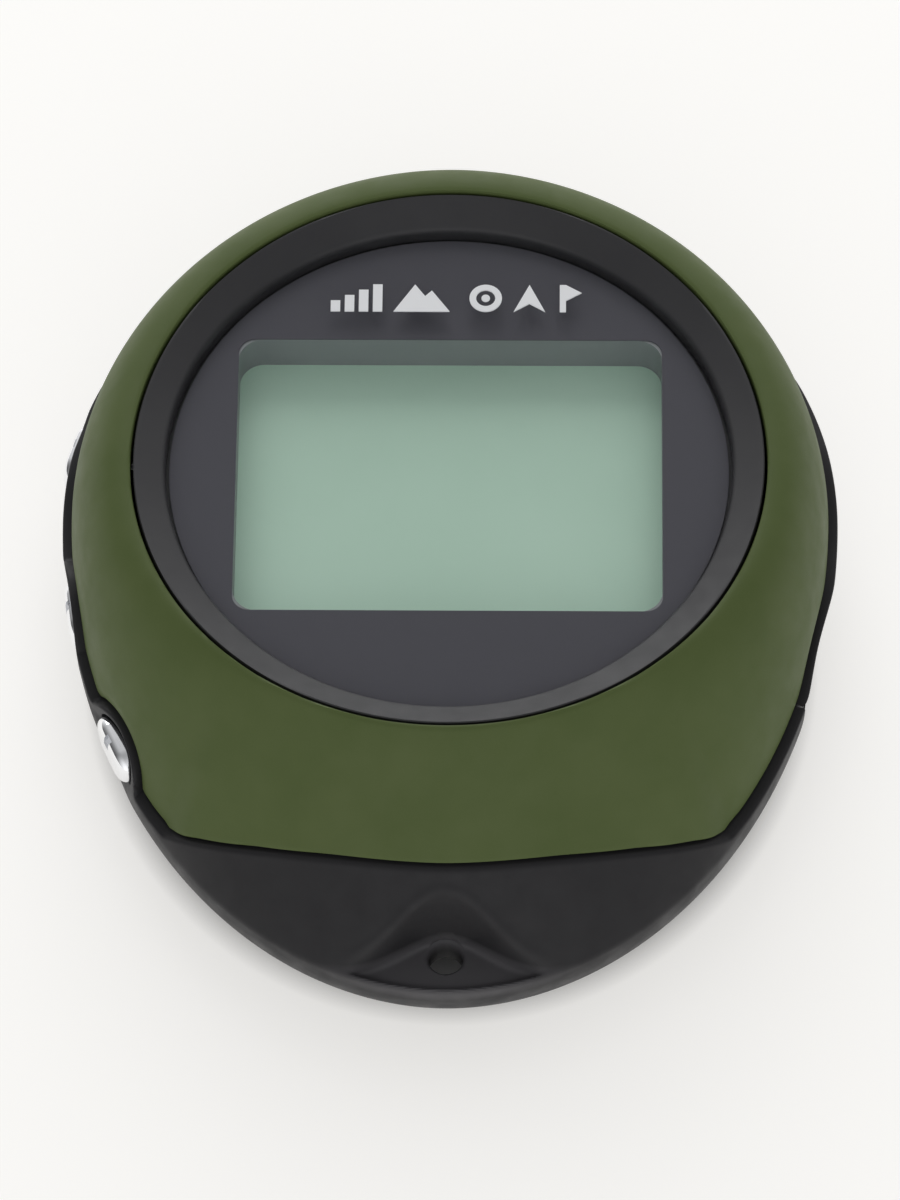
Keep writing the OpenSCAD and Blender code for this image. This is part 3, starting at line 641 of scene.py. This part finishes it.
def screw_piece(looks):
    """The four case screws as one piece, each with a cross recess."""
    points, faces = [], []
    for x, y in SCREW_SPOTS:
        some, sides = rings(lathe(screw_profile(), 40))
        faces += [tuple(i + len(points) for i in side) for side in sides]
        points += moved(some, (x, y, 0))
    screws = mesh_piece("rear_screws_fine", points, faces, looks["steel"], 35)
    wide = plate_loop(2.0, 0.46, 0.1, 0, 3)
    narrow = plate_loop(1.2, 0.3, 0.05, 0, 3)
    stack = ((wide, HEAD_Z - 0.3), (wide, HEAD_Z + 0.02), (narrow, HEAD_Z + 0.75))
    levels = [[(a, b, z) for a, b in loop] for loop, z in stack]
    slots = []
    for x, y in SCREW_SPOTS:
        for turn in (20, 110):
            some, sides = rings(levels)
            slots.append((moved(some, (x, y, 0), radians(turn)), sides))
    cut(screws, slots, looks["steel"], 35)
    return screws


def label_piece(looks):
    points, faces = plate(LABEL_W, LABEL_H, 1.8, [(0.05, 0.1), (0, 0.14), (0, 0.25)])
    return mesh_piece("rear_label_film", moved(points, (0, LABEL_Y, 0)), faces, looks["label"], 30)


# ---------- materials ----------
# Painted light on the floor of the lanyard recess: the centre and reach, in mm, of its paler tone
RECESS_LIGHT_CENTRE = (0, LANYARD_Y - 1, LUG_TOP)
RECESS_LIGHT_REACH = (12, 5, 1.6)
# Size of the uneven patches in a moulded skin
PATCH = 6.0
TRACK_SCALE = 700.0
# The Fresnel share that a pane mirrors straight on, which its mirror leaves out; on the lens it is a painted
# reflection in the mask ink's paler tone
STRAIGHT_ON = 0.045


class Look:
    """One material's node tree, with short calls for the nodes that the looks below need."""

    def __init__(self, name):
        self.material = bpy.data.materials.new(name)
        self.material.use_nodes = True
        self.nodes = self.material.node_tree.nodes
        self.links = self.material.node_tree.links
        self.nodes.clear()
        self.place = self.add("ShaderNodeTexCoord").outputs["Object"]

    def add(self, kind, inputs=(), **settings):
        node = self.nodes.new(kind)
        for key, value in settings.items():
            setattr(node, key, value)
        for key, value in dict(inputs).items():
            socket = node.inputs[key]
            if isinstance(value, bpy.types.NodeSocket):
                self.links.new(value, socket)
            else:
                socket.default_value = value
        return node

    def vector(self, operation, one, two=(0, 0, 0)):
        """One Vector Math node; two isn't used where the operation takes one vector."""
        return self.add("ShaderNodeVectorMath", {0: one, 1: two}, operation=operation)

    def arith(self, operation, one, two=0.0):
        """One Math node; two isn't used where the operation takes one value."""
        return self.add("ShaderNodeMath", {0: one, 1: two}, operation=operation).outputs[0]

    def ramp(self, value, start, end, low=0.0, high=1.0):
        """Maps start to end onto low to high, and holds both ends."""
        inputs = {"Value": value, "From Min": start, "From Max": end, "To Min": low, "To Max": high}
        return self.add("ShaderNodeMapRange", inputs).outputs["Result"]

    def noise(self, size_mm, detail=2.0, rough=0.5, stretch=None):
        """Soft noise whose lumps are about size_mm across; stretch scales each axis."""
        place = self.place
        if stretch:
            place = self.vector("MULTIPLY", place, stretch).outputs[0]
        inputs = {"Vector": place, "Scale": 1 / (size_mm * MM), "Detail": detail, "Roughness": rough}
        return self.add("ShaderNodeTexNoise", inputs).outputs["Fac"]

    def spread(self, value, low, high):
        """Maps the middle of a noise, 0.3 to 0.7, onto low to high."""
        return self.ramp(value, 0.3, 0.7, low, high)

    def near(self, centre, reach):
        """1 at a centre, falling to 0 at reach along each axis, in mm."""
        away = self.vector("SUBTRACT", self.place, tuple(v * MM for v in centre)).outputs[0]
        away = self.vector("MULTIPLY", away, tuple(1 / (v * MM) for v in reach)).outputs[0]
        return self.ramp(self.vector("LENGTH", away).outputs["Value"], 0.45, 1.0, 1.0, 0.0)

    def blend(self, amount, one, two):
        """Colour one where amount is 0 and two where it is 1."""
        node = self.add("ShaderNodeMix", data_type="RGBA", blend_type="MIX")
        # the colour mix's sockets: 0 is the factor, 6 and 7 the colours, and output 2 the result
        for key, value in ((0, amount), (6, one), (7, two)):
            if isinstance(value, bpy.types.NodeSocket):
                self.links.new(value, node.inputs[key])
            elif key:
                node.inputs[key].default_value = (*value[:3], 1)
            else:
                node.inputs[key].default_value = value
        return node.outputs[2]

    def bump(self, height, depth_mm):
        inputs = {"Height": height, "Distance": depth_mm * MM, "Strength": 1.0}
        return self.add("ShaderNodeBump", inputs).outputs["Normal"]

    def surface(self, **inputs):
        """The main shader, with underscores for the spaces in its inputs' names."""
        names = {key.replace("_", " "): value for key, value in inputs.items()}
        return self.add("ShaderNodeBsdfPrincipled", names)

    def done(self, shader):
        self.add("ShaderNodeOutputMaterial", {"Surface": shader.outputs[0]})
        return self.material


def rgb(*values):
    return (*values, 1.0)


def moulded(name, dark, light, rough=(0.42, 0.52), grain=0.11, depth=0.006, recess_light_tone=None, **more):
    """Moulded or painted skin: patchy tone, a fine grain in tone and height, and an uneven roughness.

    rubbed is a paler tone painted onto the floor of the lanyard recess: painted light that lightens the
    shade there.
    """
    look = Look(name)
    wide = look.noise(PATCH, 3)
    fine = look.noise(grain, 2, 0.6)
    tone = look.blend(look.spread(wide, 0.25, 0.75), dark, light)
    tone = look.blend(look.spread(fine, 0.0, 0.22), tone, light)
    # painted light: the recess floor is blended towards a paler tone
    if recess_light_tone:
        tone = look.blend(look.near(RECESS_LIGHT_CENTRE, RECESS_LIGHT_REACH), tone, recess_light_tone)
    normal = look.bump(look.noise(grain, 3, 0.65), depth)
    roughness = look.spread(look.noise(PATCH / 3, 3), *rough)
    shader = look.surface(Base_Color=tone, Roughness=roughness, Normal=normal, **more)
    return look.done(shader)


def chrome(name):
    look = Look(name)
    tone = look.blend(look.noise(2.5, 3), (0.86, 0.87, 0.89), (0.93, 0.93, 0.94))
    roughness = look.spread(look.noise(0.7, 4, 0.6), 0.05, 0.12)
    normal = look.bump(look.noise(1.4, 2), 0.006)
    return look.done(look.surface(Base_Color=tone, Metallic=1.0, Roughness=roughness, Normal=normal))


def metal(name, dark, light, rough=(0.25, 0.4), stretch=(1, 8, 1)):
    look = Look(name)
    brushed = look.noise(0.6, 4, 0.6, stretch)
    tone = look.blend(brushed, dark, light)
    normal = look.bump(brushed, 0.004)
    roughness = look.spread(look.noise(1.5, 3), *rough)
    return look.done(look.surface(Base_Color=tone, Metallic=1.0, Roughness=roughness, Normal=normal))


def clear_lens(name):
    """A thin pane: light goes straight through, and its outer face mirrors only at a slant; on the lens,
    what it would mirror straight on is a painted reflection in the mask ink's tone.
    """
    look = Look(name)
    through = look.add("ShaderNodeBsdfTransparent", {"Color": rgb(0.985, 0.99, 0.988)})
    roughness = look.spread(look.noise(3, 3), 0.015, 0.03)
    mirror = look.add("ShaderNodeBsdfGlossy", {"Color": rgb(1, 1, 1), "Roughness": roughness})
    fresnel = look.add("ShaderNodeFresnel", {"IOR": 1.49}).outputs[0]
    outer = look.arith("SUBTRACT", 1.0, look.add("ShaderNodeNewGeometry").outputs["Backfacing"])
    share = look.arith("MULTIPLY", look.ramp(fresnel, STRAIGHT_ON, 1.0), outer)
    both = {0: share, 1: through.outputs[0], 2: mirror.outputs[0]}
    return look.done(look.add("ShaderNodeMixShader", both))


def display_film(name):
    """Grey-green reflective display film, with a faint mottle and a satin face."""
    look = Look(name)
    wide = look.spread(look.noise(14, 2), 0.0, 1.0)
    tone = look.blend(wide, (0.535, 0.755, 0.61), (0.57, 0.79, 0.645))
    tone = look.blend(look.spread(look.noise(0.22, 3, 0.7), 0.0, 0.35), tone, (0.61, 0.81, 0.68))
    normal = look.bump(look.noise(0.2, 2), 0.003)
    return look.done(look.surface(Base_Color=tone, Roughness=0.62, Normal=normal))


def board(name):
    """Green solder mask over copper tracks, which show as raised lighter lines."""
    look = Look(name)
    tracks = look.add("ShaderNodeTexVoronoi", {"Vector": look.place, "Scale": TRACK_SCALE},
                      feature="DISTANCE_TO_EDGE", distance="MANHATTAN").outputs["Distance"]
    line = look.ramp(tracks, 0.04, 0.09)
    tone = look.blend(line, (0.035, 0.2, 0.08), (0.012, 0.09, 0.035))
    normal = look.bump(line, -0.03)
    return look.done(look.surface(Base_Color=tone, Roughness=0.3, Normal=normal))


def label_film(name):
    """Blank dark film with a thin printed frame line."""
    look = Look(name)
    parts = look.add("ShaderNodeSeparateXYZ", {0: look.place}).outputs

    def edge(axis, centre, half):
        off = look.arith("ABSOLUTE", look.arith("SUBTRACT", parts[axis], centre * MM))
        return look.arith("SUBTRACT", off, half * MM)

    reach = look.arith("MAXIMUM", edge(0, 0, LABEL_W / 2 - 1.1), edge(1, LABEL_Y, LABEL_H / 2 - 1.1))
    line = look.ramp(look.arith("ABSOLUTE", reach), 0.08 * MM, 0.13 * MM, 0.7, 0.0)
    tone = look.blend(look.noise(5, 3), (0.035, 0.035, 0.038), (0.05, 0.05, 0.054))
    tone = look.blend(line, tone, (0.5, 0.5, 0.5))
    normal = look.bump(look.noise(0.15, 3), 0.003)
    return look.done(look.surface(Base_Color=tone, Roughness=0.38, Normal=normal))


def all_looks():
    return {
        "green_shell": moulded("green_soft_paint", (0.077, 0.109, 0.030), (0.106, 0.138, 0.048),
                               rough=(0.50, 0.60), grain=0.13, depth=0.006, Specular_IOR_Level=0.2),
        # the black moulding's paler recess tone is painted light on the lanyard recess's floor
        "black_housing": moulded("black_moulding", (0.014, 0.0132, 0.0150), (0.021, 0.0202, 0.0222),
                                 rough=(0.46, 0.60), grain=0.12, depth=0.008,
                                 recess_light_tone=(0.078, 0.075, 0.080), Specular_IOR_Level=0.3),
        "bezel": moulded("bezel_moulding", (0.029, 0.0285, 0.031), (0.038, 0.0375, 0.040),
                         rough=(0.42, 0.52), grain=0.10, depth=0.005, Specular_IOR_Level=0.4),
        "lens": clear_lens("lens_clear"),
        # the mask ink is paler than its own black: the lens's straight-on reflection is painted into its
        # tone
        "mask_ink": moulded("mask_ink", (0.104, 0.101, 0.117), (0.109, 0.106, 0.122),
                            rough=(0.7, 0.75), grain=0.3, depth=0.0005, Specular_IOR_Level=0.1),
        "silver_ink": moulded("silver_print", (0.90, 0.91, 0.93), (0.95, 0.96, 0.97),
                              rough=(0.35, 0.5), grain=0.3, depth=0.002),
        "shroud": moulded("shroud_moulding", (0.232, 0.245, 0.253), (0.258, 0.270, 0.278), grain=0.15),
        "display_film": display_film("display_film"),
        "display_glass": clear_lens("display_pane"),
        "chip": moulded("chip_epoxy", (0.014, 0.014, 0.016), (0.03, 0.03, 0.032), grain=0.08),
        "flex": moulded("flex_film", (0.42, 0.2, 0.04), (0.56, 0.3, 0.08),
                        rough=(0.25, 0.35), grain=0.5, depth=0.002),
        "white_plastic": moulded("white_moulding", (0.7, 0.69, 0.65), (0.82, 0.81, 0.78), grain=0.2),
        "board": board("solder_mask"),
        "antenna": moulded("antenna_ceramic", (0.52, 0.45, 0.33), (0.66, 0.58, 0.44), grain=0.2, depth=0.01),
        "gold": metal("gold_plate", (0.78, 0.56, 0.2), (0.88, 0.68, 0.3), (0.2, 0.3)),
        "can": metal("tinned_sheet", (0.5, 0.51, 0.52), (0.68, 0.69, 0.7)),
        "parts": moulded("small_ceramics", (0.3, 0.21, 0.13), (0.48, 0.37, 0.26), grain=0.3),
        "cell": metal("foil_pouch", (0.52, 0.53, 0.55), (0.68, 0.69, 0.71), (0.3, 0.45), (1, 1, 1)),
        "foam": moulded("black_foam", (0.012, 0.012, 0.012), (0.04, 0.04, 0.04),
                        rough=(0.8, 0.95), grain=0.3, depth=0.04),
        "red_wire": moulded("red_insulation", (0.4, 0.012, 0.012), (0.58, 0.03, 0.025), grain=0.4),
        "black_wire": moulded("black_insulation", (0.012, 0.012, 0.012), (0.03, 0.03, 0.03), grain=0.4),
        "chrome_key": chrome("key_chrome"),
        "plunger": moulded("plunger_moulding", (0.012, 0.012, 0.012), (0.03, 0.03, 0.03)),
        "steel": metal("screw_steel", (0.42, 0.43, 0.44), (0.6, 0.61, 0.62)),
        "soft_black": moulded("soft_rubber", (0.014, 0.014, 0.015), (0.026, 0.026, 0.028),
                              rough=(0.6, 0.75), grain=0.16, depth=0.012),
        "label": label_film("label_film"),
    }


# ---------- stage, light and camera ----------
SENSOR_W = 36.0
FOCAL = 240.0
CAMERA_DISTANCE = 703.6
ELEVATION, YAW, ROLL = 56.7, -1.35, -0.9
AIM_BELOW, AIM_RIGHT = 11.98, 0.1
# The tent's strength along X, Y and Z, and the floor's own glow, as on a light table
TENT = (0.10, 1.25, 0.37)
FLOOR_GLOW = 0.575
# Painted shadow: the glow stops under the object, inside an ellipse about as large as its outline
SHADOW_ELLIPSE_SCALE = (1 / (HALF_W * MM), 1 / (40.0 * MM), 0.0)
PAINTED_SHADOW_FADE = (0.84, 0.96)
# The soft box behind: its place and side in metres, and its power in watts
BOX_PLACE, BOX_SIDE, BOX_POWER = (-0.08, 0.9, 0.5), 0.75, 3.2
# The floor's half side and height, in metres
FLOOR_HALF, FLOOR_Z = 2.5, -0.00006


def camera():
    """Long lens above the chin, turned a little; it aims AIM_BELOW under the lens centre."""
    e, yaw, roll = radians(ELEVATION), radians(YAW), radians(ROLL)
    unturn = Matrix.Rotation(-yaw, 3, "Z")
    back = unturn @ Vector((0, -cos(e), sin(e)))
    flat_right = unturn @ Vector((1, 0, 0))
    flat_up = unturn @ Vector((0, sin(e), cos(e)))
    right = flat_right * cos(roll) + flat_up * sin(roll)
    up = flat_up * cos(roll) - flat_right * sin(roll)
    centre = Vector((0, LENS_Y, LENS_Z))
    place = centre + back * CAMERA_DISTANCE
    aim = centre - up * AIM_BELOW + right * AIM_RIGHT
    out = (place - aim).normalized()
    right = up.cross(out).normalized()
    up = out.cross(right)
    data = bpy.data.cameras.new("camera")
    data.lens = FOCAL
    data.sensor_width = SENSOR_W
    data.clip_start, data.clip_end = 0.01, 20
    obj = bpy.data.objects.new("camera", data)
    obj.matrix_world = Matrix.Translation(place * MM) @ Matrix((right, up, out)).transposed().to_4x4()
    bpy.context.scene.collection.objects.link(obj)
    bpy.context.scene.camera = obj


def area_light(name, place, size, power):
    """Square soft box at place, facing the origin; place and size are in metres."""
    data = bpy.data.lights.new(name, "AREA")
    data.shape = "SQUARE"
    data.size, data.energy = size, power
    obj = bpy.data.objects.new(name, data)
    spot = Vector(place)
    obj.matrix_world = Matrix.Translation(spot) @ spot.to_track_quat("Z", "Y").to_matrix().to_4x4()
    bpy.context.scene.collection.objects.link(obj)


def light():
    """An even tent, brightest at its back and front and dimmest at its sides, and a wide soft box behind."""
    scene = bpy.context.scene
    scene.view_settings.view_transform = "Standard"
    world = bpy.data.worlds.new("studio")
    world.use_nodes = True
    nodes, links = world.node_tree.nodes, world.node_tree.links
    aim = nodes.new("ShaderNodeTexCoord").outputs["Generated"]
    squares = nodes.new("ShaderNodeVectorMath")
    squares.operation = "MULTIPLY"
    links.new(aim, squares.inputs[0])
    links.new(aim, squares.inputs[1])
    total = nodes.new("ShaderNodeVectorMath")
    total.operation = "DOT_PRODUCT"
    total.inputs[1].default_value = TENT
    links.new(squares.outputs[0], total.inputs[0])
    sky = nodes["Background"].inputs
    sky["Color"].default_value = rgb(0.985, 0.99, 1.0)
    links.new(total.outputs["Value"], sky["Strength"])
    scene.world = world
    area_light("back_box", BOX_PLACE, BOX_SIDE, BOX_POWER)


def floor():
    """Pale paper that glows a little, but not under the object, where the missing glow is a painted shadow.
    """
    side, low = FLOOR_HALF, FLOOR_Z
    mesh = bpy.data.meshes.new("floor")
    mesh.from_pydata([(-side, -side, low), (side, -side, low), (side, side, low), (-side, side, low)], [],
                     [(0, 1, 2, 3)])
    obj = bpy.data.objects.new("floor", mesh)
    look = Look("paper_floor")
    tone = look.blend(look.noise(40, 2), (0.62, 0.618, 0.608), (0.63, 0.627, 0.617))
    squashed = look.add("ShaderNodeMapping", {"Vector": look.place, "Scale": SHADOW_ELLIPSE_SCALE},
                        vector_type="POINT").outputs[0]
    # painted shadow: the glow fades out under the object
    glow = look.ramp(look.vector("LENGTH", squashed).outputs["Value"], *PAINTED_SHADOW_FADE, 0.0, FLOOR_GLOW)
    paper = look.surface(Base_Color=tone, Roughness=0.9, Specular_IOR_Level=0.1,
                         Emission_Color=rgb(1.0, 0.985, 0.955), Emission_Strength=glow)
    mesh.materials.append(look.done(paper))
    bpy.context.scene.collection.objects.link(obj)


# ---------- the model ----------
def node_slots():
    return {row["node"]: row["material_slot"] for row in frame["record"]["subparts"]}


def dress_nodes(looks):
    """Every CAD node gets its slot's look; the ones with a finer piece are hidden later."""
    slots = node_slots()
    for name, obj in frame["nodes"].items():
        obj.data.materials.clear()
        obj.data.materials.append(looks[slots[name]])


def place_pieces(looks):
    """Makes the finer pieces, each riding with the body of the node that it replaces."""
    pieces = shell_pieces(looks)
    pieces["lens_window"] = lens_piece(looks)
    for key, y in KEY_Y.items():
        pieces["key_" + key] = key_piece("key_" + key + "_chrome", y, KEY_OUT[key], looks)
    pieces["usb_cover"] = cover_piece(looks)
    pieces["rear_screws"] = screw_piece(looks)
    pieces["rear_label"] = label_piece(looks)
    bodies = {node: body for body, nodes in frame["record"]["behaviour"]["bodies"].items() for node in nodes}
    for node, piece in pieces.items():
        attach(piece, bodies[node])
        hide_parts(node)


camera()
light()
floor()
LOOKS = all_looks()
dress_nodes(LOOKS)
place_pieces(LOOKS)
